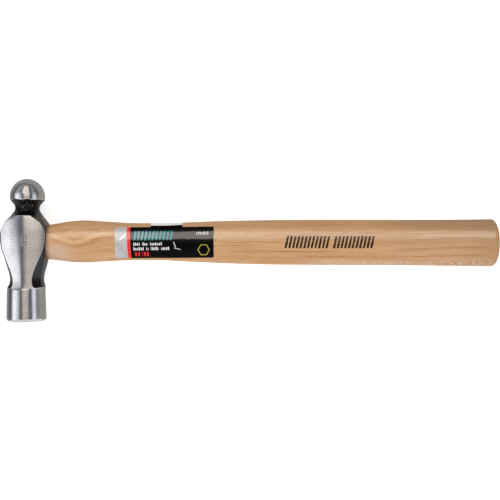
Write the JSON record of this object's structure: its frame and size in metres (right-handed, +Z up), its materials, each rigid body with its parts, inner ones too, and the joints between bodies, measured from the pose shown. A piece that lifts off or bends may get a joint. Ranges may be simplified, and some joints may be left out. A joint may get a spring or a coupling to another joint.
{
  "type": "ball peen hammer",
  "caption": "Ball peen hammer with a forged steel head, round striking face and ball, on a hickory handle fixed by wedges, with a printed sticker.",
  "frame": {"origin": "middle of the bounding box's base, with the hammer lying on its side", "axes": "+X along the handle from the head to the butt, +Y along the head's axis from the striking face to the ball, +Z up, away from the surface the hammer lies on"},
  "size_m": [0.3538, 0.1014, 0.028],
  "materials": {
    "forged_steel": "ground bright on the ball, cheeks and poll, gloss black paint on the neck and sides",
    "hickory": "satin lacquer",
    "wedge_wood": "raw",
    "wedge_steel": "as cut",
    "sticker": "printed film"
  },
  "bodies": {
    "root": {"head": "forged_steel", "handle": "hickory", "wood_wedge": "wedge_wood", "steel_wedge_peen_side": "wedge_steel", "steel_wedge_face_side": "wedge_steel", "label": "sticker"}
  },
  "joints": []
}
